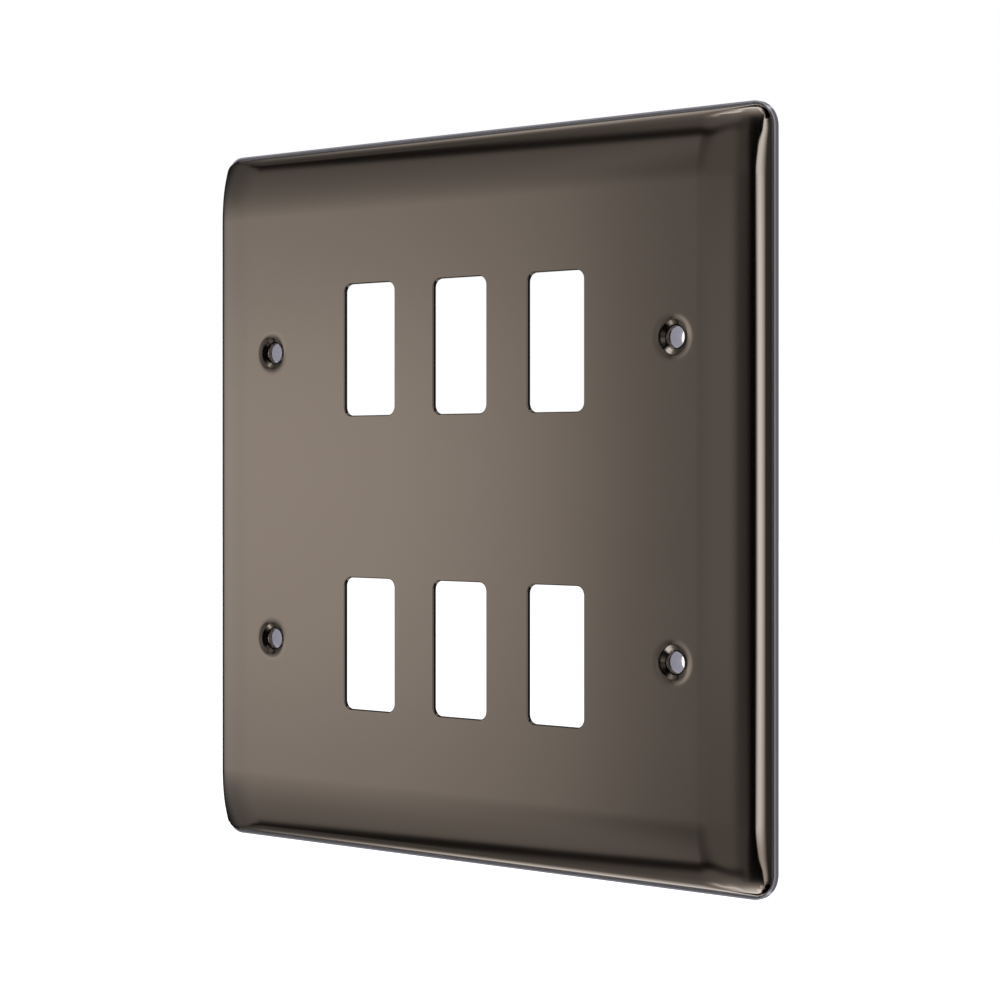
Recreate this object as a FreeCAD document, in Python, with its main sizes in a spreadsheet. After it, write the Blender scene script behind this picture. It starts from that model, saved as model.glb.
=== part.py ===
import FreeCAD, Part
import math
import os
import Sketcher

# Grid switch plate: a pressed sheet-metal front over a moulded plastic backing.
# X runs across the plate, Z up, and the front faces -Y. Y = 0 is the plane on which the
# four screw sleeves bear, so a level is a distance from that plane towards the room.

SIZES = [
    # Overall plate
    ("plate_side", 146.0),
    ("plate_corner", 5.0),
    ("shell_depth", 5.0),
    ("flange_thickness", 1.0),
    ("flange_lip", 0.3),
    ("sleeve_short", 0.8),
    # Pressed front
    ("metal_thickness", 0.8),
    ("crown_margin", 14.0),
    ("crown_radius", 39.0),
    ("rim_radius", 3.5),
    # Switch apertures
    ("aperture_width", 14.1),
    ("aperture_height", 27.0),
    ("aperture_corner", 1.8),
    ("aperture_pitch", 24.9),
    ("aperture_columns", 3),
    ("row_pitch", 60.3),
    # Fixing holes and the dimples around them
    ("fixing_land", 5.3),
    ("screw_hole_radius", 1.95),
    ("metal_hole_ease", 0.05),
    ("dimple_radius", 3.45),
    ("dimple_depth", 1.0),
    ("dimple_land", 0.75),
    ("dimple_lip", 4.5),
    # Moulded backing
    ("backing_gap", 0.15),
    ("backing_wall", 1.0),
    ("window_side_margin", 9.55),
    ("window_end_margin", 9.5),
    ("window_corner", 3.0),
    ("rib_thickness", 1.0),
    ("rib_height", 1.6),
    ("boss_radius", 4.4),
    ("seat_gap", 0.1),
]

ROWS = 2

# Turns that set a sketch's y along the level: on the YZ plane its x is then Z, on the XY plane -X
UPRIGHT_TURN = 90
ACROSS_TURN = 180

RIM_SIZE = {"Fillet": "Radius", "Chamfer": "Size"}

# Places worked out from the driving sizes
WALL_LEVEL = "(-sizes.sleeve_short)"
FLANGE_LEVEL = "(sizes.flange_thickness - sizes.sleeve_short)"
FRONT_LEVEL = "(sizes.flange_thickness - sizes.sleeve_short + sizes.shell_depth)"
BASE_LEVEL = "(-2 * sizes.shell_depth)"
METAL_HALF = "(sizes.plate_side / 2 - sizes.flange_lip)"
METAL_CORNER = "(sizes.plate_corner - sizes.flange_lip)"
CROWN_START = "(sizes.plate_side / 2 - sizes.flange_lip - sizes.crown_margin)"
CROWN_END = "(sizes.plate_side / 2 + sizes.rim_radius)"
FIXING_HALF = "(%s - sizes.fixing_land)" % CROWN_START
BACKING_INSET = "(sizes.metal_thickness + sizes.backing_gap)"
CORE_INSET = "(sizes.metal_thickness + sizes.backing_gap + sizes.backing_wall)"
METAL_HOLE = "(sizes.screw_hole_radius + sizes.metal_hole_ease)"
CONE_ANGLE = "atan(sizes.dimple_depth / (sizes.dimple_radius - %s))" % METAL_HOLE

doc = FreeCAD.newDocument("grid_switch_plate")
sheet = doc.addObject("Spreadsheet::Sheet", "sizes")
for row, (alias, number) in enumerate(SIZES, 1):
    sheet.set("A%d" % row, alias)
    sheet.set("B%d" % row, str(number))
    sheet.setAlias("B%d" % row, alias)
doc.recompute()


def value(expression):
    """The number that an expression on the sheet gives now."""
    return float(sheet.evalExpression(expression))


def origin_feature(body, role):
    return next(f for f in body.Origin.OriginFeatures if f.Role == role)


def add_sketch(body, role, name, turn=0, **offset):
    """A sketch on one of the body's origin planes, turned in it and moved by expressions x, y or z."""
    sketch = body.newObject("Sketcher::SketchObject", name)
    sketch.AttachmentSupport = [(origin_feature(body, role), "")]
    sketch.MapMode = "FlatFace"
    rotation = FreeCAD.Rotation(FreeCAD.Vector(0, 0, 1), turn)
    sketch.AttachmentOffset = FreeCAD.Placement(FreeCAD.Vector(), rotation)
    for axis, expression in offset.items():
        sketch.setExpression("AttachmentOffset.Base." + axis, expression)
    return sketch


def dimension(sketch, kind, references, expression):
    """Adds a size to a sketch and binds it to the sheet."""
    index = sketch.addConstraint(Sketcher.Constraint(kind, *references, value(expression)))
    name = "size_%d" % index
    sketch.renameConstraint(index, name)
    sketch.setExpression("Constraints." + name, expression)


def line(sketch, start, end):
    segment = Part.LineSegment(FreeCAD.Vector(*start, 0), FreeCAD.Vector(*end, 0))
    return sketch.addGeometry(segment, False)


def arc(sketch, centre, radius, start_deg, end_deg):
    circle = Part.Circle(FreeCAD.Vector(*centre, 0), FreeCAD.Vector(0, 0, 1), radius)
    curve = Part.ArcOfCircle(circle, math.radians(start_deg), math.radians(end_deg))
    return sketch.addGeometry(curve, False)


def place_point(sketch, geometry, point, x, y):
    """Ties one end or centre to expressions for its place in the sketch."""
    dimension(sketch, "DistanceX", (-1, 1, geometry, point), x)
    dimension(sketch, "DistanceY", (-1, 1, geometry, point), y)


def polygon(sketch, corners):
    """A closed outline of straight lines through corners given as expressions."""
    numbers = [(value(x), value(y)) for x, y in corners]
    sides = [line(sketch, start, end) for start, end in zip(numbers, numbers[1:] + numbers[:1])]
    for first, second in zip(sides, sides[1:] + sides[:1]):
        sketch.addConstraint(Sketcher.Constraint("Coincident", first, 2, second, 1))
    for side, (x, y) in zip(sides, corners):
        place_point(sketch, side, 1, x, y)


def rounded_rectangle(sketch, width, height, corner, x="0", y="0"):
    """A closed outline with four equal corner arcs, centred on x, y."""
    half_w, half_h, r = value(width) / 2, value(height) / 2, value(corner)
    cx, cy = value(x), value(y)
    left, right, low, high = cx - half_w, cx + half_w, cy - half_h, cy + half_h
    sides = [
        line(sketch, (left + r, low), (right - r, low)),
        line(sketch, (right, low + r), (right, high - r)),
        line(sketch, (right - r, high), (left + r, high)),
        line(sketch, (left, high - r), (left, low + r)),
    ]
    corners = [
        arc(sketch, (right - r, low + r), r, -90, 0),
        arc(sketch, (right - r, high - r), r, 0, 90),
        arc(sketch, (left + r, high - r), r, 90, 180),
        arc(sketch, (left + r, low + r), r, 180, 270),
    ]
    for side, curve, following in zip(sides, corners, sides[1:] + sides[:1]):
        sketch.addConstraint(Sketcher.Constraint("Tangent", side, 2, curve, 1))
        sketch.addConstraint(Sketcher.Constraint("Tangent", curve, 2, following, 1))
    for side, direction in zip(sides, ("Horizontal", "Vertical", "Horizontal", "Vertical")):
        sketch.addConstraint(Sketcher.Constraint(direction, side))
    for curve in corners[1:]:
        sketch.addConstraint(Sketcher.Constraint("Equal", corners[0], curve))
    dimension(sketch, "Radius", (corners[0],), corner)
    reach_x = "(%s) / 2 - (%s)" % (width, corner)
    reach_y = "(%s) / 2 - (%s)" % (height, corner)
    place_point(sketch, corners[1], 3, "(%s) + %s" % (x, reach_x), "(%s) + %s" % (y, reach_y))
    place_point(sketch, corners[3], 3, "(%s) - (%s)" % (x, reach_x), "(%s) - (%s)" % (y, reach_y))


def circle_outline(sketch, radius, x, y):
    shape = Part.Circle(FreeCAD.Vector(value(x), value(y), 0), FreeCAD.Vector(0, 0, 1), value(radius))
    index = sketch.addGeometry(shape, False)
    dimension(sketch, "Radius", (index,), radius)
    place_point(sketch, index, 3, x, y)


def pad(body, profile, length, name):
    feature = body.newObject("PartDesign::Pad", name)
    feature.Profile = profile
    feature.setExpression("Length", length)
    doc.recompute()
    return feature


def pocket_through(body, profile, name, towards_room):
    """Cuts from the sketch's level right through, towards the room or towards the wall."""
    before = body.Shape.Volume
    feature = body.newObject("PartDesign::Pocket", name)
    feature.Profile = profile
    feature.Type = "ThroughAll"
    feature.Reversed = towards_room
    doc.recompute()
    if not body.Shape.Volume < before:
        raise RuntimeError(name + " removes nothing")
    return feature


def at_each_fixing(body, feature, name):
    """Repeats a feature made at the upper right fixing at the other three."""
    repeat = body.newObject("PartDesign::MultiTransform", name)
    repeat.Originals = [feature]
    across = body.newObject("PartDesign::LinearPattern", name + "_across")
    across.Direction = (origin_feature(body, "X_Axis"), [""])
    across.Reversed = True
    across.setExpression("Length", "2 * " + FIXING_HALF)
    across.Occurrences = 2
    down = body.newObject("PartDesign::LinearPattern", name + "_down")
    down.Direction = (origin_feature(body, "Z_Axis"), [""])
    down.Reversed = True
    down.setExpression("Length", "sizes.row_pitch")
    down.Occurrences = ROWS
    repeat.Transformations = [across, down]
    body.Tip = repeat
    doc.recompute()
    return repeat


def fall_outline(sketch, inset):
    """The space over one edge of the face: from the end of the flat, an arc falls to the wall.

    The sketch's x runs out from the middle of the plate and its y is the level.
    """
    face = "(%s - (%s))" % (FRONT_LEVEL, inset)
    bend = "(sizes.crown_radius - (%s))" % inset
    room = "(%s + sizes.shell_depth)" % FRONT_LEVEL
    start, end, radius = value(CROWN_START), value(CROWN_END), value(bend)
    turn = math.degrees(math.asin((end - start) / radius))
    fallen = value(face) - radius + radius * math.cos(math.radians(turn))
    fall = arc(sketch, (start, value(face) - radius), radius, 90 - turn, 90)
    inner = line(sketch, (start, value(face)), (start, value(room)))
    across = line(sketch, (start, value(room)), (end, value(room)))
    outer = line(sketch, (end, value(room)), (end, fallen))
    sketch.addConstraint(Sketcher.Constraint("Coincident", fall, 2, inner, 1))
    sketch.addConstraint(Sketcher.Constraint("Coincident", inner, 2, across, 1))
    sketch.addConstraint(Sketcher.Constraint("Coincident", across, 2, outer, 1))
    sketch.addConstraint(Sketcher.Constraint("Coincident", outer, 2, fall, 1))
    sketch.addConstraint(Sketcher.Constraint("Vertical", outer))
    place_point(sketch, fall, 2, CROWN_START, face)
    dimension(sketch, "DistanceX", (-1, 1, fall, 3), CROWN_START)
    dimension(sketch, "Radius", (fall,), bend)
    place_point(sketch, across, 1, CROWN_START, room)
    place_point(sketch, across, 2, CROWN_END, room)


def crown_spine(sketch, inset):
    """The line of the face from the plate's middle to an edge, in the same sketch axes."""
    face = "(%s - (%s))" % (FRONT_LEVEL, inset)
    bend = "(sizes.crown_radius - (%s))" % inset
    start, end, radius = value(CROWN_START), value(CROWN_END), value(bend)
    turn = math.degrees(math.asin((end - start) / radius))
    flat = line(sketch, (0, value(face)), (start, value(face)))
    fall = arc(sketch, (start, value(face) - radius), radius, 90 - turn, 90)
    sketch.addConstraint(Sketcher.Constraint("Tangent", flat, 2, fall, 2))
    sketch.addConstraint(Sketcher.Constraint("PointOnObject", flat, 1, -2))
    sketch.addConstraint(Sketcher.Constraint("Horizontal", flat))
    place_point(sketch, flat, 2, CROWN_START, face)
    dimension(sketch, "Radius", (fall,), bend)
    dimension(sketch, "DistanceX", (-1, 1, fall, 1), CROWN_END)


def front_rim_edges(shape, half, corner):
    """Names of the edges where the crowned face meets the side walls."""
    names = []
    for index, edge in enumerate(shape.Edges, 1):
        points = edge.discretize(5)
        on_wall = True
        for point in points:
            over_x = abs(point.x) - half + corner
            over_z = abs(point.z) - half + corner
            inside = min(max(over_x, over_z), 0)
            outside = math.hypot(max(over_x, 0), max(over_z, 0))
            on_wall = on_wall and abs(inside + outside - corner) < 0.001
        rise = abs(points[-1].y - points[0].y)
        behind = max(point.y for point in points) > -value(BASE_LEVEL) - 0.001
        if on_wall and not behind and rise < 0.9 * edge.Length:
            names.append("Edge%d" % index)
    return names


def crowned_block(body, inset, rim_kind):
    """A solid rounded square with a double-crowned face, set in by inset.

    The rim is rolled over by a fillet, or on a hidden block cut back inside that roll by a chamfer.
    """
    half = "(%s - (%s))" % (METAL_HALF, inset)
    corner = "(%s - (%s))" % (METAL_CORNER, inset)
    outline = add_sketch(body, "XZ_Plane", body.Name + "_outline", z=BASE_LEVEL)
    rounded_rectangle(outline, "2 * " + half, "2 * " + half, corner)
    pad(body, outline, "%s - (%s) - %s" % (FRONT_LEVEL, inset, BASE_LEVEL), body.Name + "_block")
    top_outline = add_sketch(body, "YZ_Plane", body.Name + "_top_fall_outline", turn=UPRIGHT_TURN)
    fall_outline(top_outline, inset)
    top_fall = body.newObject("PartDesign::Pocket", body.Name + "_top_fall")
    top_fall.Profile = top_outline
    top_fall.Type = "ThroughAll"
    top_fall.Midplane = True
    doc.recompute()
    falls = body.newObject("PartDesign::Mirrored", body.Name + "_bottom_fall")
    falls.Originals = [top_fall]
    falls.MirrorPlane = (origin_feature(body, "XY_Plane"), [""])
    body.Tip = falls
    doc.recompute()

    before = body.Shape.Volume
    side_outline = add_sketch(body, "XY_Plane", body.Name + "_side_fall_outline", turn=ACROSS_TURN)
    fall_outline(side_outline, inset)
    spine = add_sketch(body, "YZ_Plane", body.Name + "_crown_spine", turn=UPRIGHT_TURN)
    crown_spine(spine, inset)
    doc.recompute()
    side_fall = body.newObject("PartDesign::SubtractivePipe", body.Name + "_side_fall")
    side_fall.Profile = side_outline
    side_fall.Spine = spine
    side_fall.Mode = "Fixed"
    doc.recompute()
    crown = body.newObject("PartDesign::MultiTransform", body.Name + "_crown")
    crown.Originals = [side_fall]
    mirrors = []
    for role in ("XY_Plane", "YZ_Plane"):
        mirror = body.newObject("PartDesign::Mirrored", body.Name + "_crown_" + role)
        mirror.MirrorPlane = (origin_feature(body, role), [""])
        mirrors.append(mirror)
    crown.Transformations = mirrors
    body.Tip = crown
    doc.recompute()
    if not body.Shape.Volume < before:
        raise RuntimeError(body.Name + " has no crown")
    rim = body.newObject("PartDesign::" + rim_kind, body.Name + "_rim")
    rim.Base = (crown, front_rim_edges(crown.Shape, value(half), value(corner)))
    rim.setExpression(RIM_SIZE[rim_kind], "sizes.rim_radius - (%s)" % inset)
    body.Tip = rim
    doc.recompute()
    return rim


def trim_behind(body, level):
    """Cuts the block off square at a level, from there towards the wall."""
    sketch = add_sketch(body, "XZ_Plane", body.Name + "_trim_outline", z=level)
    side = "2 * sizes.plate_side"
    rounded_rectangle(sketch, side, side, "sizes.plate_corner")
    return pocket_through(body, sketch, body.Name + "_trim", False)


def cone_radius(depth, offset):
    """Radius, at a depth behind the face, of the dimple's cone moved out by offset."""
    return "(sizes.dimple_radius + (%s) / sin(%s) - (%s) / tan(%s))" % (
        offset, CONE_ANGLE, depth, CONE_ANGLE)


def at_depth(depth):
    """Sketch height of a point that lies a depth behind the flat of the face."""
    return "((%s) - %s)" % (depth, FRONT_LEVEL)


def fixing_sketch(body, name):
    """A sketch whose upright axis is the axis of the upper right fixing hole."""
    return add_sketch(body, "XY_Plane", name, x=FIXING_HALF, z="sizes.row_pitch / 2")


def revolved(body, kind, profile, name):
    feature = body.newObject("PartDesign::" + kind, name)
    feature.Profile = profile
    feature.ReferenceAxis = (profile, ["V_Axis"])
    feature.Angle = 360
    doc.recompute()
    return feature


# Front plate: one sheet, pressed to a crowned face with a rolled rim, pierced and dimpled
front_plate = doc.addObject("PartDesign::Body", "front_plate")
front_plate.Label = "front_plate"
pressed_form = crowned_block(front_plate, "0", "Fillet")
rear_faces = []
for number, face in enumerate(pressed_form.Shape.Faces, 1):
    if abs(face.CenterOfMass.y + value(BASE_LEVEL)) < 0.001:
        rear_faces.append("Face%d" % number)
sheet_metal = front_plate.newObject("PartDesign::Thickness", "front_plate_sheet")
sheet_metal.Base = (pressed_form, rear_faces)
sheet_metal.setExpression("Value", "sizes.metal_thickness")
sheet_metal.Reversed = True
sheet_metal.Mode = "Skin"
sheet_metal.Join = "Intersection"
doc.recompute()
trim_behind(front_plate, FLANGE_LEVEL)

# Each dimple is drawn in behind the sheet first, then its bowl and hole are cut from the front
DIMPLE_REAR = "(sizes.dimple_depth + sizes.dimple_land)"
MID_SHEET = "(sizes.metal_thickness / 2)"
drawn_profile = fixing_sketch(front_plate, "dimple_drawn_profile")
polygon(drawn_profile, [
    (METAL_HOLE, at_depth(MID_SHEET)),
    (cone_radius(MID_SHEET, "sizes.metal_thickness"), at_depth(MID_SHEET)),
    (cone_radius(DIMPLE_REAR, "sizes.metal_thickness"), at_depth(DIMPLE_REAR)),
    (METAL_HOLE, at_depth(DIMPLE_REAR)),
])
dimple_drawn = revolved(front_plate, "Revolution", drawn_profile, "dimple_drawn")
at_each_fixing(front_plate, dimple_drawn, "dimples_drawn")

BOWL_FRONT = "(-sizes.dimple_depth / 2)"
BOWL_BACK = "(2 * %s)" % DIMPLE_REAR
bowl_profile = fixing_sketch(front_plate, "dimple_bowl_profile")
polygon(bowl_profile, [
    ("0", at_depth(BOWL_FRONT)),
    (cone_radius(BOWL_FRONT, "0"), at_depth(BOWL_FRONT)),
    (METAL_HOLE, at_depth("sizes.dimple_depth")),
    (METAL_HOLE, at_depth(BOWL_BACK)),
    ("0", at_depth(BOWL_BACK)),
])
dimple_bowl = revolved(front_plate, "Groove", bowl_profile, "dimple_bowl")
dimple_bowls = at_each_fixing(front_plate, dimple_bowl, "dimple_bowls")

lip_edges = []
for number, edge in enumerate(dimple_bowls.Shape.Edges, 1):
    is_ring = edge.Curve.TypeId == "Part::GeomCircle" and abs(edge.Vertexes[0].Y + value(FRONT_LEVEL)) < 0.001
    if is_ring and abs(edge.Curve.Radius - value("sizes.dimple_radius")) < 0.001:
        lip_edges.append("Edge%d" % number)
dimple_lips = front_plate.newObject("PartDesign::Fillet", "dimple_lips")
dimple_lips.Base = (dimple_bowls, lip_edges)
dimple_lips.setExpression("Radius", "sizes.dimple_lip")
doc.recompute()

# Two rows of apertures, one for each switch module
columns = int(value("sizes.aperture_columns"))
aperture_outline = add_sketch(front_plate, "XZ_Plane", "aperture_outline", z=FRONT_LEVEL)
for row in range(ROWS):
    for column in range(columns):
        rounded_rectangle(
            aperture_outline, "sizes.aperture_width", "sizes.aperture_height", "sizes.aperture_corner",
            x="%s * sizes.aperture_pitch" % (column - (columns - 1) / 2),
            y="%s * sizes.row_pitch" % (row - (ROWS - 1) / 2))
pocket_through(front_plate, aperture_outline, "apertures", False)

# Backing: one moulding that lines the shell and carries the flange, ribs and screw sleeves
backing = doc.addObject("PartDesign::Body", "backing")
backing.Label = "backing"
crowned_block(backing, BACKING_INSET, "Chamfer")
trim_behind(backing, WALL_LEVEL)
flange_outline = add_sketch(backing, "XZ_Plane", "flange_outline", z=WALL_LEVEL)
rounded_rectangle(flange_outline, "sizes.plate_side", "sizes.plate_side", "sizes.plate_corner")
pad(backing, flange_outline, "sizes.flange_thickness", "flange")

# The core is the space behind the web. What is cut out of it stands up inside the moulding
core = doc.addObject("PartDesign::Body", "backing_core")
crowned_block(core, CORE_INSET, "Chamfer")
RIB_LEVEL = "(%s - %s - sizes.rib_height)" % (FRONT_LEVEL, CORE_INSET)
ROW_CENTRES = ["(%s * sizes.row_pitch)" % (row - (ROWS - 1) / 2) for row in range(ROWS)]
COLUMN_CENTRES = ["(%s * sizes.aperture_pitch)" % (c - (columns - 1) / 2) for c in range(columns)]

# A row's window clears its apertures by a margin at the sides and at the ends
APERTURE_FIELD = "((sizes.aperture_columns - 1) * sizes.aperture_pitch + sizes.aperture_width)"
WINDOW_WIDTH = "(%s + 2 * sizes.window_side_margin)" % APERTURE_FIELD
WINDOW_HEIGHT = "(sizes.aperture_height + 2 * sizes.window_end_margin)"
window_rims = add_sketch(core, "XZ_Plane", "window_rim_outline", z=RIB_LEVEL)
for centre in ROW_CENTRES:
    rounded_rectangle(
        window_rims, "%s + 2 * sizes.rib_thickness" % WINDOW_WIDTH,
        "%s + 2 * sizes.rib_thickness" % WINDOW_HEIGHT,
        "sizes.window_corner + sizes.rib_thickness", y=centre)
pocket_through(core, window_rims, "window_rims", True)

upright_ribs = add_sketch(core, "XZ_Plane", "upright_rib_outline", z=RIB_LEVEL)
for centre in COLUMN_CENTRES:
    left = "%s - sizes.rib_thickness / 2" % centre
    right = "%s + sizes.rib_thickness / 2" % centre
    low, high = "-sizes.plate_side / 2", "sizes.plate_side / 2"
    polygon(upright_ribs, [(left, low), (right, low), (right, high), (left, high)])
pocket_through(core, upright_ribs, "upright_ribs", True)

level_ribs = add_sketch(core, "XZ_Plane", "level_rib_outline", z=RIB_LEVEL)
for centre in ROW_CENTRES + ["0"]:
    low = "%s - sizes.rib_thickness / 2" % centre
    high = "%s + sizes.rib_thickness / 2" % centre
    left, right = "-sizes.plate_side / 2", "sizes.plate_side / 2"
    polygon(level_ribs, [(left, low), (right, low), (right, high), (left, high)])
pocket_through(core, level_ribs, "level_ribs", True)

hollow = backing.newObject("PartDesign::Boolean", "hollow")
hollow.setObjects([core])
hollow.Type = "Cut"
doc.recompute()

# One window behind each row lets the switch modules through
windows = add_sketch(backing, "XZ_Plane", "window_outline", z=FRONT_LEVEL)
for centre in ROW_CENTRES:
    rounded_rectangle(windows, WINDOW_WIDTH, WINDOW_HEIGHT, "sizes.window_corner", y=centre)
pocket_through(backing, windows, "windows", False)

# The bosses stand on the web and end on the bearing plane
boss_outline = add_sketch(backing, "XZ_Plane", "boss_outline")
for side in (-1, 1):
    for centre in ROW_CENTRES:
        circle_outline(boss_outline, "sizes.boss_radius", "%d * %s" % (side, FIXING_HALF), centre)
pad(backing, boss_outline, "%s - %s - sizes.backing_wall / 2" % (FRONT_LEVEL, BACKING_INSET), "bosses")

# Each boss has a cone that the dimple sits in, and the screw's bore behind it
SEAT_OFFSET = "(sizes.metal_thickness + sizes.seat_gap)"
SEAT_REAR = "(%s + sizes.seat_gap)" % DIMPLE_REAR
BORE_END = "(%s + sizes.shell_depth)" % FRONT_LEVEL
seat_profile = fixing_sketch(backing, "screw_seat_profile")
polygon(seat_profile, [
    ("0", at_depth(MID_SHEET)),
    (cone_radius(MID_SHEET, SEAT_OFFSET), at_depth(MID_SHEET)),
    (cone_radius(SEAT_REAR, SEAT_OFFSET), at_depth(SEAT_REAR)),
    ("sizes.screw_hole_radius", at_depth(SEAT_REAR)),
    ("sizes.screw_hole_radius", at_depth(BORE_END)),
    ("0", at_depth(BORE_END)),
])
screw_seat = revolved(backing, "Groove", seat_profile, "screw_seat")
at_each_fixing(backing, screw_seat, "screw_seats")
doc.recompute()

for item in doc.Objects:
    if "Invalid" in item.State or "Error" in item.State:
        raise RuntimeError(item.Name + " did not compute")

os.makedirs("parts", exist_ok=True)
for body in (front_plate, backing):
    shape = body.Shape
    if shape.isNull() or not shape.isValid() or len(shape.Solids) != 1:
        raise RuntimeError(body.Label + " is not one valid solid")
    shape.exportStep("parts/" + body.Label + ".step")
    box = shape.BoundBox
    print(body.Label, "volume", round(shape.Volume, 1), "box", box)
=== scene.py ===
import math

import bmesh
import bpy
from mathutils import Matrix, Vector


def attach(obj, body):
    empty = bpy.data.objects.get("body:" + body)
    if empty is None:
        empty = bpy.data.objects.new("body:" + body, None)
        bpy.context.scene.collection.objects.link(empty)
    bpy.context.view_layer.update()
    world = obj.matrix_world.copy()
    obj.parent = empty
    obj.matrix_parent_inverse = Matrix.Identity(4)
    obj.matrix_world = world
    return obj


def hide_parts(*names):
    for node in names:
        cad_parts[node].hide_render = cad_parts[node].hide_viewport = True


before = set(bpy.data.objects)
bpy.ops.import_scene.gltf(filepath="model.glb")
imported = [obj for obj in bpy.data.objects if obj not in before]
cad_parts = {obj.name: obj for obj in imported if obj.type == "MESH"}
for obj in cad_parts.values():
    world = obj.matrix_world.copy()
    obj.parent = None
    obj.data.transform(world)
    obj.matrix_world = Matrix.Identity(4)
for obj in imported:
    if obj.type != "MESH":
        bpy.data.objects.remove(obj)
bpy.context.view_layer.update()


# Front plate. One pressed sheet of steel, plated black nickel: a flat face that falls away along an arc on
# all four sides, a rolled rim, six pierced apertures and four dimples drawn round the screw holes. Its rear
# edge stands on the backing's flange. Lengths are in millimetres until the mesh is scaled to metres.
MM = 0.001
FACE_Y = -5.2
EDGE_Y = -0.2
RIM_DEPTH = EDGE_Y - FACE_Y
PLATE_HALF = 72.7
PLAN_CORNER = 4.7
FLAT_HALF = 58.7
CROWN_RADIUS = 39.0
SHEET = 0.8
APERTURE_HALF = (7.05, 13.5)
APERTURE_CORNER = 1.8
APERTURE_PITCH = 24.9
ROW_Z = (30.15, -30.15)
FIXING_X = (-53.4, 53.4)
APERTURES = [(x, z) for x in (-APERTURE_PITCH, 0.0, APERTURE_PITCH) for z in ROW_Z]
FIXINGS = [(x, z) for x in FIXING_X for z in ROW_Z]
HOLE_RADIUS = 2.0
HOLE_REAR = 1.75


def crown_fall(t):
    """How far the face has fallen at a distance t from the plate's middle line."""
    past = max(0.0, abs(t) - FLAT_HALF)
    return CROWN_RADIUS - math.sqrt(CROWN_RADIUS ** 2 - past ** 2)


def crown_slope(t):
    """How steeply it falls there, with the sign of t."""
    past = max(0.0, abs(t) - FLAT_HALF)
    return math.copysign(past / math.sqrt(CROWN_RADIUS ** 2 - past ** 2), t)


def outline_foot(x, z):
    """The nearest point of the plate's outline, the way out to it, and the distance in from it."""
    straight = PLATE_HALF - PLAN_CORNER
    past = Vector((abs(x) - straight, abs(z) - straight))
    if past.x > 0 and past.y > 0:
        way = past.normalized()
        foot = Vector((straight, straight)) + PLAN_CORNER * way
    elif past.x > past.y:
        way, foot = Vector((1, 0)), Vector((PLATE_HALF, abs(z)))
    else:
        way, foot = Vector((0, 1)), Vector((abs(x), PLATE_HALF))
    inset = (foot - Vector((abs(x), abs(z)))).dot(way)
    side = Vector((math.copysign(1, x), math.copysign(1, z)))
    return foot * side, way * side, inset


LEAST_SLANT = 1e-6


def at_corner(way):
    """Whether the way out crosses a rounded corner of the outline."""
    return abs(way.x * way.y) > LEAST_SLANT


LEAST_ROLL = 0.2
LARGEST_ROLL = 4.0
HALVINGS = 30
THIRDINGS = 40
roll_sizes = {}


def roll_at(foot, way):
    """Radius of the rim roll there: an arc, upright on the rear edge, that runs out into the crown."""
    key = (round(abs(foot.x), 4), round(abs(foot.y), 4))
    if key in roll_sizes:
        return roll_sizes[key]
    if not at_corner(way):
        level = RIM_DEPTH - CROWN_RADIUS - crown_fall(foot.y if way.x else foot.x)
        roll_sizes[key] = ((CROWN_RADIUS ** 2 - (PLATE_HALF - FLAT_HALF) ** 2 - level ** 2)
                           / (2 * (CROWN_RADIUS - PLATE_HALF + FLAT_HALF)))
        return roll_sizes[key]

    def clearance(radius, inset):
        """How far the crown lies outside the roll's circle at that inset."""
        fallen = crown_fall(foot.x - way.x * inset) + crown_fall(foot.y - way.y * inset)
        return math.hypot(radius - inset, RIM_DEPTH - fallen) - radius

    low, high = LEAST_ROLL, LARGEST_ROLL
    for _ in range(HALVINGS):
        radius = (low + high) / 2
        near, far = 0.0, radius
        for _ in range(THIRDINGS):
            first, second = near + (far - near) / 3, far - (far - near) / 3
            if clearance(radius, first) < clearance(radius, second):
                far = second
            else:
                near = first
        if clearance(radius, near) > 0:
            low = radius
        else:
            high = radius
    roll_sizes[key] = low
    return low


def roll_turn(radius, inset):
    """How far the roll has turned from level at that inset: a quarter turn at the outline."""
    return math.asin(max(-1.0, min(1.0, (radius - inset) / radius)))


STEEPEST_TURN = 1.5
SIDE_STEP = 0.02


def shell_point(x, z):
    """Level of the pressed face at a point in front view, and its outward direction."""
    foot, way, inset = outline_foot(x, z)
    crown_y = FACE_Y + crown_fall(x) + crown_fall(z)
    crown_way = Vector((crown_slope(x), -1.0, crown_slope(z))).normalized()
    radius = roll_at(foot, way)
    if inset >= radius:
        return crown_y, crown_way
    turn = roll_turn(radius, max(inset, 0.0))
    roll_y = EDGE_Y - radius * math.cos(turn)
    slope = crown_slope(x) * way.x + crown_slope(z) * way.y
    if roll_y <= crown_y or math.tan(min(turn, STEEPEST_TURN)) < slope:
        return crown_y, crown_way
    # The roll's radius changes round a corner, so its surface leans along the outline too
    along = Vector((-way.y, way.x))
    ahead, behind = (outline_foot(*(foot + along * step))[:2] for step in (SIDE_STEP, -SIDE_STEP))
    growth = (roll_at(*ahead) - roll_at(*behind)) / (2 * SIDE_STEP)
    curve = 1 / PLAN_CORNER if at_corner(way) else 0.0
    stretch = 1 - radius * (1 - math.sin(turn)) * curve
    lean = -growth * (1 - math.sin(turn)) / stretch
    out = way * math.sin(turn) + along * lean
    return roll_y, Vector((out.x, -math.cos(turn), out.y)).normalized()


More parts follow.
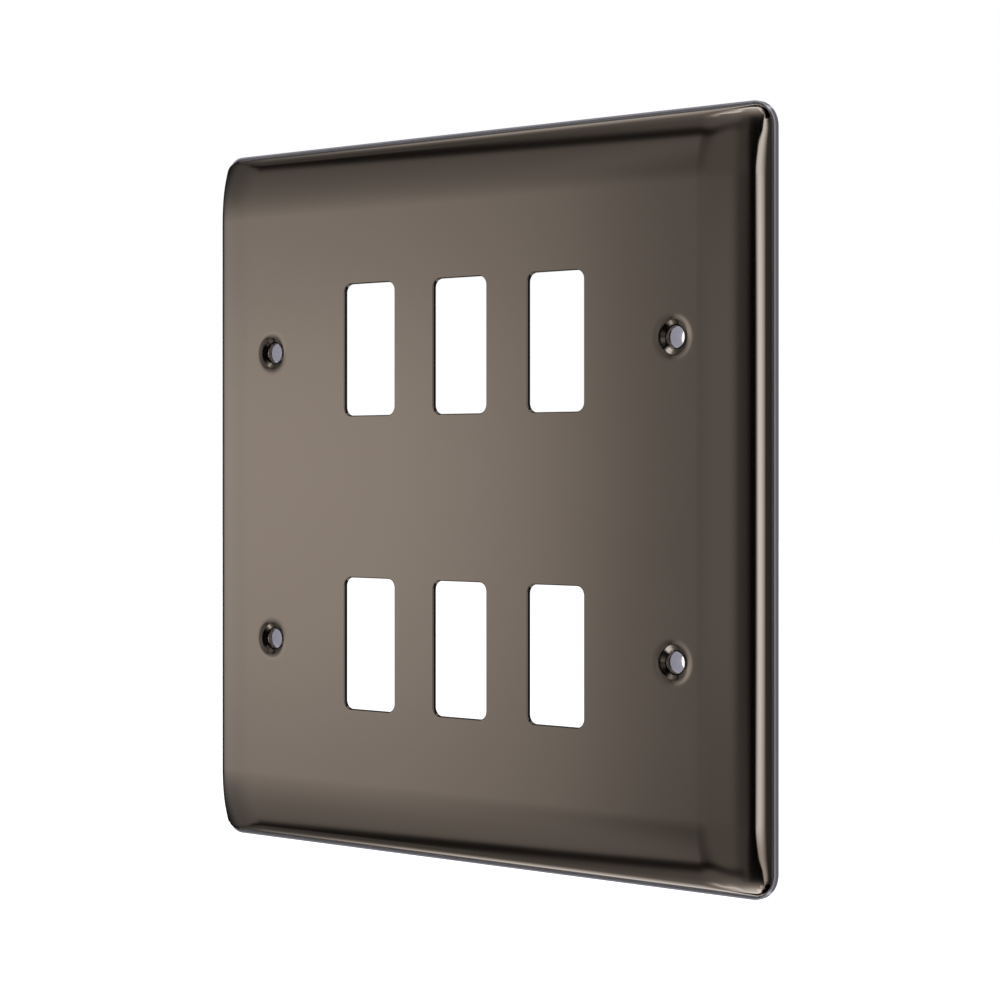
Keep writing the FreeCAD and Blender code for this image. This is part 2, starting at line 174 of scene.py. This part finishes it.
def rounded_rectangle(shape, half_x, half_z, corner, steps, centre=(0.0, 0.0)):
    """A face in the plane y = 0 that looks towards -Y, with its corners rounded by a bevel."""
    corners = [shape.verts.new((centre[0] + sx * half_x, 0.0, centre[1] + sz * half_z))
               for sx, sz in ((-1, -1), (1, -1), (1, 1), (-1, 1))]
    shape.faces.new(corners)
    bmesh.ops.bevel(shape, geom=corners, offset=corner, offset_type="OFFSET", segments=steps, profile=0.5,
                    affect="VERTICES", material=-1)


def largest_face(shape):
    """The face that the next cut starts from."""
    return max(shape.faces, key=lambda f: f.calc_area())


OUTLINE_CORNER_STEPS = 16
plate = bmesh.new()
rounded_rectangle(plate, PLATE_HALF, PLATE_HALF, PLAN_CORNER, OUTLINE_CORNER_STEPS)

# Rings of the roll, parallel to the outline and closest together at it
ROLL_STEPS = 22
ROLL_WIDTH = 2.5
ROLL_CROWDING = 1.8
inset_before = 0.0
for step in range(1, ROLL_STEPS + 1):
    inset = ROLL_WIDTH * (step / ROLL_STEPS) ** ROLL_CROWDING
    bmesh.ops.inset_region(plate, faces=[largest_face(plate)], thickness=inset - inset_before,
                           use_even_offset=True)
    inset_before = inset

# Lines of the crown, across the whole plate on every side
CROWN_LINES = 19
CROWN_STEP = 0.7
SNAP = 1e-5
for step in range(CROWN_LINES):
    line = FLAT_HALF + CROWN_STEP * step
    for normal in ((1, 0, 0), (-1, 0, 0), (0, 0, 1), (0, 0, -1)):
        geometry = plate.verts[:] + plate.edges[:] + plate.faces[:]
        bmesh.ops.bisect_plane(plate, geom=geometry, dist=SNAP, plane_no=normal,
                               plane_co=tuple(line * n for n in normal))

# The flat middle is filled again round the apertures and the dimples. A dimple's slopes are pairs of the
# distance from the hole's axis and the slope there in degrees, from its soft lip inwards.
APERTURE_CORNER_STEPS = 10
DIMPLE_SIDES = 64
BOWL_SLOPES = ((5.0, 0.0), (4.6, 0.8), (4.2, 3.0), (3.9, 8.0), (3.6, 14.0), (3.4, 18.0), (3.28, 22.5),
               (3.15, 27.0), (2.0, 27.0))
DIMPLE_OUTER = BOWL_SLOPES[0][0]
FACING_FRONT = Matrix.Rotation(math.pi / 2, 4, "X")
middle = largest_face(plate)
flat_edges = list(middle.edges)
bmesh.ops.delete(plate, geom=[middle], context="FACES_ONLY")
openings = []
for centre in APERTURES:
    before = set(plate.edges)
    rounded_rectangle(plate, *APERTURE_HALF, APERTURE_CORNER, APERTURE_CORNER_STEPS, centre)
    opening = [e for e in plate.edges if e not in before]
    bmesh.ops.delete(plate, geom=list({f for e in opening for f in e.link_faces}), context="FACES_ONLY")
    openings.append(opening)
dimples = []
for x, z in FIXINGS:
    ring = bmesh.ops.create_circle(plate, cap_ends=False, radius=DIMPLE_OUTER, segments=DIMPLE_SIDES,
                                   matrix=Matrix.Translation((x, 0, z)) @ FACING_FRONT)
    dimples.append(((x, z), list({e for v in ring["verts"] for e in v.link_edges})))
loops = flat_edges + [e for o in openings for e in o] + [e for _, ring in dimples for e in ring]
bmesh.ops.triangle_fill(plate, use_beauty=True, use_dissolve=False, edges=loops, normal=(0, -1, 0))
bmesh.ops.recalc_face_normals(plate, faces=plate.faces[:])
if sum(f.normal.y for f in plate.faces) > 0:
    bmesh.ops.reverse_faces(plate, faces=plate.faces[:])

# The pressed face falls to the rear edge
for v in plate.verts:
    v.co.y = shell_point(v.co.x, v.co.z)[0]


def bowl_slope(radius):
    """Slope of a dimple's bowl, as a tangent, at a distance from the hole's axis."""
    for (far, gentle), (near, steep) in zip(BOWL_SLOPES, BOWL_SLOPES[1:]):
        if radius >= near:
            return math.tan(math.radians(gentle + (steep - gentle) * (far - radius) / (far - near)))
    return math.tan(math.radians(BOWL_SLOPES[-1][1]))


# Each dimple is drawn from its ring: a soft lip, then a bowl that steepens down to the hole
BOWL_STEPS = 30
bowl = []
bowl_depth = 0.0
bowl_step = (DIMPLE_OUTER - HOLE_RADIUS) / BOWL_STEPS
for step in range(BOWL_STEPS):
    bowl_depth += bowl_slope(DIMPLE_OUTER - bowl_step * (step + 0.5)) * bowl_step
    bowl.append((DIMPLE_OUTER - bowl_step * (step + 1), bowl_depth))
for (x, z), ring in dimples:
    radius, depth = DIMPLE_OUTER, 0.0
    for new_radius, new_depth in bowl:
        grown = bmesh.ops.extrude_edge_only(plate, edges=ring)["geom"]
        verts = [g for g in grown if isinstance(g, bmesh.types.BMVert)]
        ring = [g for g in grown if isinstance(g, bmesh.types.BMEdge) and len(g.link_faces) == 1]
        scale = new_radius / radius
        bmesh.ops.scale(plate, vec=(scale, 1, scale), space=Matrix.Translation((-x, 0, -z)), verts=verts)
        bmesh.ops.translate(plate, vec=(0, new_depth - depth, 0), verts=verts)
        radius, depth = new_radius, new_depth
bmesh.ops.recalc_face_normals(plate, faces=plate.faces[:])
if min(plate.faces, key=lambda f: f.calc_center_median().y).normal.y > 0:
    bmesh.ops.reverse_faces(plate, faces=plate.faces[:])

# The sheet's thickness, inwards from the face
CUT, OUTSIDE, INSIDE, BREAK = range(4)
skin = plate.faces.layers.int.new("skin")
for f in plate.faces:
    f[skin] = OUTSIDE
grown = bmesh.ops.solidify(plate, geom=plate.faces[:], thickness=SHEET)["geom"]
for f in grown:
    if isinstance(f, bmesh.types.BMFace):
        f[skin] = INSIDE
for f in plate.faces:
    if f[skin] == OUTSIDE and any(g[skin] == INSIDE for e in f.edges for g in e.link_faces):
        f[skin] = CUT

# The holes are bored straight through, from a hair behind the bowl's end
HAIR = 0.05
bowl_end = FACE_Y + bowl_depth
for v in plate.verts:
    for x, z in FIXINGS:
        out = Vector((v.co.x - x, v.co.z - z))
        if (out.length < HOLE_RADIUS + SHEET and v.co.y > bowl_end + HAIR
                and any(f[skin] == CUT for f in v.link_faces)):
            v.co = (x + out.x * HOLE_RADIUS / out.length, FACE_Y + HOLE_REAR,
                    z + out.y * HOLE_RADIUS / out.length)

# The slight break that piercing leaves along the apertures, and the rounded edges of the drawn holes
SHARP = math.radians(40)
CREASE = math.radians(42)
APERTURE_BREAK = 0.22
APERTURE_BREAK_STEPS = 4
HOLE_ROUNDING = 0.45
HOLE_ROUNDING_STEPS = 8
cut_edges = [e for e in plate.edges
             if len(e.link_faces) == 2 and max(v.co.y for v in e.verts) < bowl_end + HAIR
             and any(f[skin] == OUTSIDE for f in e.link_faces) and e.calc_face_angle() > SHARP]
round_holes = [e for e in cut_edges if abs(e.verts[0].co.x) > FIXING_X[1] - 2 * HOLE_RADIUS]
pierced = [e for e in cut_edges if e not in round_holes]
for edges, offset, segments in ((pierced, APERTURE_BREAK, APERTURE_BREAK_STEPS),
                                (round_holes, HOLE_ROUNDING, HOLE_ROUNDING_STEPS)):
    broken = bmesh.ops.bevel(plate, geom=edges, offset=offset, offset_type="OFFSET", segments=segments,
                             profile=0.5, affect="EDGES", material=-1)["faces"]
    for f in broken:
        f[skin] = BREAK
for f in plate.faces:
    f.smooth = True
for e in plate.edges:
    e.smooth = len(e.link_faces) == 2 and e.calc_face_angle() < CREASE

# The outer face and its breaks carry the true surface's directions, so that reflections run smoothly
ON_RING = 1e-4


def shell_normal(x, z):
    """The outer face's direction, in a dimple too."""
    for centre_x, centre_z in FIXINGS:
        out = Vector((x - centre_x, z - centre_z))
        if out.length < DIMPLE_OUTER - ON_RING:
            tilt = bowl_slope(out.length)
            return Vector((-tilt * out.x / out.length, -1.0, -tilt * out.y / out.length)).normalized()
    return shell_point(x, z)[1]


on_face = {v for f in plate.faces if f[skin] == OUTSIDE for v in f.verts}
normals = []
for f in plate.faces:
    for v in f.verts:
        known = v in on_face and f[skin] in (OUTSIDE, BREAK)
        normals.append(shell_normal(v.co.x, v.co.z) if known else Vector((0, 0, 0)))
bmesh.ops.scale(plate, vec=(MM, MM, MM), verts=plate.verts[:])


def placed(name, shape):
    """The finished shape as an object in the scene."""
    mesh = bpy.data.meshes.new(name)
    shape.to_mesh(mesh)
    shape.free()
    made = bpy.data.objects.new(name, mesh)
    bpy.context.scene.collection.objects.link(made)
    return made


front = placed("front_plate_pressing", plate)
front.data.normals_split_custom_set(normals)


class Socket:
    """A shader value that adds its Math nodes when it is used in an expression."""

    def __init__(self, tree, socket):
        self.tree, self.socket = tree, socket

    def math(self, operation, other=None, swapped=False):
        node = self.tree.nodes.new("ShaderNodeMath")
        node.operation = operation
        for place, value in zip((1, 0) if swapped else (0, 1), (self, other)):
            if isinstance(value, Socket):
                self.tree.links.new(value.socket, node.inputs[place])
            elif value is not None:
                node.inputs[place].default_value = value
        return Socket(self.tree, node.outputs[0])

    def __add__(self, other):
        return self.math("ADD", other)

    __radd__ = __add__

    def __mul__(self, other):
        return self.math("MULTIPLY", other)

    __rmul__ = __mul__

    def __sub__(self, other):
        return self.math("SUBTRACT", other)

    def __rsub__(self, other):
        return self.math("SUBTRACT", other, swapped=True)

    def __pow__(self, other):
        return self.math("POWER", other)

    def __abs__(self):
        return self.math("ABSOLUTE")


class Shader:
    """The node tree of a material or of the world."""

    def __init__(self, owner):
        owner.use_nodes = True
        self.tree = owner.node_tree
        self.tree.nodes.clear()

    def node(self, kind, settings=None, out=0, **inputs):
        """A node with its settings, and with the values or links of its inputs; i0 is the first input."""
        made = self.tree.nodes.new("ShaderNode" + kind)
        for name, value in (settings or {}).items():
            if name == "stops":
                while len(made.color_ramp.elements) < len(value):
                    made.color_ramp.elements.new(1.0)
                for element, (position, level) in zip(made.color_ramp.elements, value):
                    element.position = position
                    element.color = (level, level, level, 1)
            else:
                setattr(made, name, value)
        for name, value in inputs.items():
            numbered = name[0] == "i" and name[1:].isdigit()
            target = made.inputs[int(name[1:]) if numbered else name.replace("_", " ")]
            if isinstance(value, Socket):
                self.tree.links.new(value.socket, target)
            else:
                target.default_value = value
        return Socket(self.tree, made.outputs[out]) if made.outputs else made

    def place(self):
        """Object coordinates."""
        return self.node("TexCoord", out="Object")

    def parts(self, vector):
        """The vector's x, y and z."""
        return [self.node("SeparateXYZ", out=axis, i0=vector) for axis in "XYZ"]

    def mix(self, share, first, second):
        """A colour between two, each a node's or three numbers."""
        first, second = (c if isinstance(c, Socket) else (*c, 1) for c in (first, second))
        return self.node("Mix", {"data_type": "RGBA"}, out=2, i0=share, i6=first, i7=second)

    def smooth(self, value, low, high):
        """A soft step from 0 at low to 1 at high; low may be the larger."""
        return self.node("MapRange", {"interpolation_type": "SMOOTHSTEP"}, Value=value, From_Min=low,
                         From_Max=high)


# Black nickel: dark warm grey metal, polished, with the slight unevenness of a plated pressing
NICKEL_DARK = (0.232, 0.190, 0.158)
NICKEL_LIGHT = (0.244, 0.201, 0.167)
CLOUD_SCALE = 38.0
GRAIN_SCALE = 5200.0
GRAIN_HEIGHT = 0.02 * MM
GRAIN_STRENGTH = 0.02
POLISH = 0.085
POLISH_CHANGE = 0.03
black_nickel = bpy.data.materials.new("black_nickel_plating")
metal = Shader(black_nickel)
here = metal.place()
cloud = metal.node("TexNoise", Vector=here, Scale=CLOUD_SCALE, Detail=3.0, Roughness=0.55)
grain = metal.node("TexNoise", Vector=here, Scale=GRAIN_SCALE, Detail=2.0, Roughness=0.5)
tone = metal.mix(cloud, NICKEL_DARK, NICKEL_LIGHT)

# Painted shade: the apertures' sheared walls and their break are coloured darker. The dark starts at the
# first of these distances out from the nearest aperture's outline, and it is full at the second.
SHEARED_FROM = 0.24 * MM
SHEARED_FULL = 0.14 * MM
SHEARED_WALL_SHADE = (0.105, 0.088, 0.075)
plate_x, _, plate_z = metal.parts(here)
pitch = APERTURE_PITCH * MM
past_x = abs(abs(abs(plate_x) - pitch / 2) - pitch / 2) - (APERTURE_HALF[0] - APERTURE_CORNER) * MM
past_z = abs(abs(plate_z) - ROW_Z[0] * MM) - (APERTURE_HALF[1] - APERTURE_CORNER) * MM
past_both = (past_x.math("MAXIMUM", 0) ** 2 + past_z.math("MAXIMUM", 0) ** 2) ** 0.5
# The mask of this painted shade on the aperture walls.
sheared_wall_shade = metal.smooth(past_both - APERTURE_CORNER * MM, SHEARED_FROM, SHEARED_FULL)
tone = metal.mix(sheared_wall_shade, tone, SHEARED_WALL_SHADE)
uneven = metal.node("Bump", Height=grain, Strength=GRAIN_STRENGTH, Distance=GRAIN_HEIGHT)
plated = metal.node("BsdfPrincipled", Base_Color=tone, Metallic=1.0, Normal=uneven,
                    Roughness=POLISH + cloud * POLISH_CHANGE)
metal.node("OutputMaterial", Surface=plated)
front.data.materials.append(black_nickel)
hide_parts("front_plate")
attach(front, "root")


# Backing. One plastic moulding, pale grey with a touch of lavender: it lines the shell, its flange shows as a
# thin edge round the metal, and its four screw bosses show through the holes. It is the CAD solid itself,
# with painted shade that colours the flange's lip and its side darker.
BACKING_DARK = (0.55, 0.54, 0.61)
BACKING_LIGHT = (0.61, 0.60, 0.67)
# Painted shade: the flange's lip is coloured darker, and its outer side darker still, as if in shadow.
LIP_SHADE_TONE = (0.25, 0.246, 0.275)
LIP_SHADE_FROM = 71.5 * MM
LIP_SHADE_FULL = 72.1 * MM
SIDE_SHADE_TONE = (0.13, 0.128, 0.14)
SIDE_SHADE_FROM = -0.18 * MM
SIDE_SHADE_FULL = -0.10 * MM
MOTTLE_SCALE = 60.0
TEXTURE_SCALE = 3500.0
TEXTURE_HEIGHT = 0.05 * MM
TEXTURE_STRENGTH = 0.25
MATT = 0.5
MATT_CHANGE = 0.1
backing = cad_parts["backing"]
backing_plastic = bpy.data.materials.new("backing_plastic_grey")
moulding = Shader(backing_plastic)
here = moulding.place()
mottle = moulding.node("TexNoise", Vector=here, Scale=MOTTLE_SCALE, Detail=4.0, Roughness=0.6)
texture = moulding.node("TexNoise", Vector=here, Scale=TEXTURE_SCALE, Detail=3.0, Roughness=0.6)
back_x, back_y, back_z = moulding.parts(here)
# Masks of the painted shade on the flange's lip and on its side.
lip_shade = moulding.smooth(abs(back_x).math("MAXIMUM", abs(back_z)), LIP_SHADE_FROM, LIP_SHADE_FULL)
side = lip_shade * moulding.smooth(back_y, SIDE_SHADE_FROM, SIDE_SHADE_FULL)
tone = moulding.mix(mottle, BACKING_DARK, BACKING_LIGHT)
tone = moulding.mix(side, moulding.mix(lip_shade, tone, LIP_SHADE_TONE), SIDE_SHADE_TONE)
sparked = moulding.node("Bump", Height=texture, Strength=TEXTURE_STRENGTH, Distance=TEXTURE_HEIGHT)
plastic = moulding.node("BsdfPrincipled", Base_Color=tone, Normal=sparked,
                        Roughness=MATT + mottle * MATT_CHANGE)
moulding.node("OutputMaterial", Surface=plastic)
backing.data.materials.clear()
backing.data.materials.append(backing_plastic)


# Studio tent. Pale cloth round the object with black flags, a dark seam and a soft box overhead, which only
# the metal reflects. Bearings are in degrees: azimuth from the front towards the plate's left side, and
# height from the level, up or down. Each soft step below runs from one bearing to another.
DEGREES = 180 / math.pi
TENT_RADIUS = 4.0
tent = bmesh.new()
bmesh.ops.create_uvsphere(tent, u_segments=64, v_segments=32, radius=TENT_RADIUS)
bmesh.ops.reverse_faces(tent, faces=tent.faces[:])
studio_tent = placed("studio_tent", tent)
tent_cloth = bpy.data.materials.new("tent_cloth")
cloth = Shader(tent_cloth)
way = cloth.node("VectorMath", {"operation": "NORMALIZE"}, i0=cloth.place())
way_x, way_y, way_z = cloth.parts(way)
azimuth = (way_x * -1.0).math("ARCTAN2", way_y * -1.0) * DEGREES
height = abs(way_z).math("ARCSINE") * DEGREES


def ramp(value, low, high, stops):
    """A level that follows value through these stops."""
    scaled = cloth.node("MapRange", Value=value, From_Min=low, From_Max=high)
    places = [((at - low) / (high - low), level) for at, level in stops]
    return cloth.node("ValToRGB", {"stops": places}, i0=scaled)


def between(share, first, second):
    """A level between two."""
    return first + share * (second - first)


def dimmed(level, mask, by=1.0):
    """The level, less this share of it where the mask is full."""
    return level * (1 - mask * by)


def from_to(bearing, start, end):
    """A mask that fills softly from one bearing to another."""
    return cloth.smooth(bearing, start, end)


below = from_to(way_z, 0.01, -0.01)
on_left = from_to(azimuth, 36, 44)
towards_left = from_to(azimuth, 20, 36)
far_left = from_to(azimuth, 52, 76)

# The wall at the plate's own level, by azimuth. Its pattern swings round as it goes up, and it gets dimmer
# towards the seam: by these two fades on the left, and by less in front.
WALL_LEVEL = 2.5
SWING = 0.0055
SWING_TOP = 40
FAR_DIMMING = 0.35
END_DIMMING = 0.93
LEVEL_STRIP = (
    (-180, 0.03), (-86, 0.04), (-80, 0.10), (-75, 0.35), (-69, 0.53), (-63, 0.65), (-57, 0.80), (-51, 0.95),
    (-39, 1.00), (-33, 0.90), (-28, 0.60), (-23, 0.28), (-19, 0.09), (-16, 0.020), (-12, 0.002),
    (2.4, 0.002), (3.8, 0.040), (9, 0.055), (12.5, 0.130), (15, 0.144), (28, 0.138), (36, 0.120),
    (38.2, 0.158), (39.3, 0.248), (41.3, 0.340), (43.3, 0.40), (45.5, 0.435), (52, 0.425), (60, 0.40),
    (76, 0.39))
FADE_ABOVE = (
    (0, 1.0), (2, 0.98), (3.4, 0.90), (5, 0.76), (9, 0.60), (12, 0.49), (16, 0.38), (20, 0.32), (27, 0.25))
FADE_BELOW = (
    (0, 1.0), (3, 0.96), (4.6, 0.90), (6.5, 0.78), (10, 0.65), (14, 0.55), (17, 0.48), (21, 0.40), (27, 0.34))
swung = azimuth - height.math("MINIMUM", SWING_TOP) ** 2 * from_to(azimuth, 34, 16) * SWING
level_strip = ramp(swung, -180, 180, LEVEL_STRIP) * WALL_LEVEL
level_strip = dimmed(level_strip, from_to(azimuth, 76, 92), END_DIMMING)
fade = between(below, ramp(height, 0, 90, FADE_ABOVE), ramp(height, 0, 90, FADE_BELOW))
front_dimming = from_to(height, 4, 15) * 0.30 + from_to(height, 20, 27) * 0.1
beside_strip = from_to(height, 7, 14) * from_to(azimuth, 45, 38) * towards_left
low_wall = dimmed(level_strip, on_left * (1 - fade))
low_wall = dimmed(low_wall, far_left * from_to(height, 5, 16), FAR_DIMMING)
low_wall = dimmed(low_wall, (1 - on_left) * front_dimming)
low_wall = dimmed(low_wall, beside_strip * (0.18 + below * 0.12))

# The wall higher up in front, where the pale cloth is dimmer
LOW_FRONT_DIMMING = 0.45
HIGH_STRIP = (
    (-95, 0.04), (-84, 0.08), (-75, 0.25), (-66, 0.44), (-58, 0.60), (-50, 0.78), (-40, 0.87), (-28, 0.84),
    (-21, 0.68), (-18, 0.26), (-15.5, 0.03), (-13, 0.002), (1.8, 0.002), (3.0, 0.058), (7.5, 0.062),
    (10, 0.085), (13, 0.098))
high_strip = ramp(swung, -100, 20, HIGH_STRIP) * WALL_LEVEL
low_front = below * from_to(azimuth, 5, -2) * from_to(height, 8, 18)
high_strip = dimmed(high_strip, low_front, LOW_FRONT_DIMMING)
raised = from_to(height, 3, 11) * from_to(azimuth, 34, 26)
side_wall = between(raised, low_wall, high_strip)

# The dark seam between the wall and the roof, which gives the plate's falling sides their dark line
SEAM_DARKNESS = 0.95
seam_height = height - below * (0.3 + from_to(azimuth, 40, 46) * 0.9) - from_to(azimuth, 36, 18) * 4
seam_depth = 0.5 + below * 0.25 + towards_left * (0.5 - below * 0.25)
dark_seam = (from_to(seam_height, 26.0, 28.2) * from_to(seam_height, 32.5, 29.8) * from_to(azimuth, 8, 14)
             * seam_depth * from_to(azimuth, 80, 56) * SEAM_DARKNESS)

# The roof: a dim ceiling, a brighter part towards the back, and the soft box over the front
BOX_LEVEL = 1.7
BOX_HIGH_DIMMING = 0.85
TOP_DIMMING = 0.93
near_front = from_to(azimuth, 62, 36)
ceiling = (0.13 + near_front * 0.14 + from_to(height, 33, 52) * (0.22 + near_front * 0.35)
           + from_to(height, 45, 54) * near_front * (0.35 + below * 0.45))
rear_roof = from_to(height, 42, 51) * from_to(azimuth, 52, 95) * (0.75 + below * 0.85)
box_height = height + from_to(azimuth, 18, 26) * 1.5
box = from_to(azimuth, 46, 34) * BOX_LEVEL
box = dimmed(box, from_to(azimuth, 18, 30) * from_to(height, 44, 50), BOX_HIGH_DIMMING)
overhead_box = (from_to(box_height, 39.8, 43.4) * from_to(azimuth, -8, 3)
                * (box + from_to(azimuth, 20, 8) * 0.1))
roof = (ceiling + rear_roof + overhead_box) * from_to(azimuth, -24, -4)
roof = dimmed(roof, from_to(height, 60, 67), TOP_DIMMING)
under_roof = from_to(height - from_to(azimuth, 28, 12) * 8.5 - from_to(azimuth, 4, -8) * 5, 29, 31)

# All together, with a pale cloth behind the plate. The brightest cloth is a little cooler.
BACK_LEVEL = 0.45
LEAST_LEVEL = 0.004
PLAIN_WHITE = (1, 1, 1)
COOL_WHITE = (0.95, 1.03, 1.11)
back = from_to(abs(azimuth), 152, 166) * BACK_LEVEL
walls = dimmed(side_wall, under_roof) + under_roof * roof
pattern = dimmed(walls, dark_seam) + back + LEAST_LEVEL
tint = cloth.mix(cloth.smooth(pattern, 0.9, 2.3), PLAIN_WHITE, COOL_WHITE)
cloth.node("OutputMaterial", Surface=cloth.node("Emission", Color=tint, Strength=pattern))
tent_cloth.cycles.emission_sampling = "NONE"
studio_tent.data.materials.append(tent_cloth)
studio_tent.visible_camera = False
studio_tent.visible_diffuse = False
studio_tent.visible_transmission = False
studio_tent.visible_shadow = False


# Floor. A plain pale floor some way below the plate. It glows a little for the camera alone, so that it
# meets the white background without a line and keeps the plate's shadow.
FLOOR_HALF = 3.5
FLOOR_LEVEL = -0.125
FLOOR_TONE = (0.9, 0.9, 0.9, 1)
FLOOR_GLOW = 0.42
WHITE = (1, 1, 1, 1)
floor = bmesh.new()
bmesh.ops.create_grid(floor, x_segments=2, y_segments=2, size=FLOOR_HALF)
bmesh.ops.translate(floor, vec=(0, 0, FLOOR_LEVEL), verts=floor.verts[:])
studio_floor = placed("studio_floor", floor)
floor_paint = bpy.data.materials.new("pale_floor")
paint = Shader(floor_paint)
matt = paint.node("BsdfDiffuse", Color=FLOOR_TONE)
camera_ray = paint.node("LightPath", out="Is Camera Ray")
lifted = paint.node("Emission", Color=WHITE, Strength=camera_ray * FLOOR_GLOW)
paint.node("OutputMaterial", Surface=paint.node("AddShader", i0=matt, i1=lifted))
studio_floor.data.materials.append(floor_paint)
studio_floor.visible_glossy = False


# Air and lamp. The background is white to the camera, in reflections and through clear things, and pale
# light for all else; a soft lamp above the plate's left front corner gives the shadow.
AIR_TONE = (0.80, 0.80, 0.82, 1)
world = bpy.data.worlds.new("studio_air")
bpy.context.scene.world = world
sky = Shader(world)
camera_ray, glossy_ray, clear_ray = (sky.node("LightPath", out="Is %s Ray" % kind)
                                     for kind in ("Camera", "Glossy", "Transmission"))
shown = camera_ray.math("MAXIMUM", glossy_ray).math("MAXIMUM", clear_ray)
air = sky.node("Background", Color=AIR_TONE, Strength=1.0)
white = sky.node("Background", Color=WHITE, Strength=1.0)
sky.node("OutputWorld", Surface=sky.node("MixShader", i0=shown, i1=air, i2=white))

LAMP_SIZE = 0.9
LAMP_POWER = 8.0
LAMP_PLACE = Vector((-0.5, -0.9, 1.1))
lamp_data = bpy.data.lights.new("key_softbox", "AREA")
lamp_data.shape = "DISK"
lamp_data.size = LAMP_SIZE
lamp_data.energy = LAMP_POWER
lamp = bpy.data.objects.new("key_softbox", lamp_data)
lamp.location = LAMP_PLACE
lamp.rotation_euler = (-LAMP_PLACE).to_track_quat("-Z", "Y").to_euler()
lamp.visible_glossy = False
lamp.visible_camera = False
bpy.context.scene.collection.objects.link(lamp)


# Camera. Level, a little above the plate's middle and turned 41.4 degrees to its right-hand side, as the
# photograph was taken, with a small shift in place of a tilt so that upright lines stay upright.
FILM_WIDTH = 36.0
FOCAL_LENGTH = 96.23
SHIFT = -0.0318
CAMERA_PLACE = (0.3564, -0.3967, 0.00583)
CAMERA_TURN = math.radians(41.44)
camera_data = bpy.data.cameras.new("camera")
camera_data.sensor_width = FILM_WIDTH
camera_data.lens = FOCAL_LENGTH
camera_data.shift_y = SHIFT
camera = bpy.data.objects.new("camera", camera_data)
camera.location = CAMERA_PLACE
camera.rotation_euler = (math.radians(90), 0, CAMERA_TURN)
bpy.context.scene.collection.objects.link(camera)
bpy.context.scene.camera = camera
bpy.context.scene.view_settings.view_transform = "Standard"
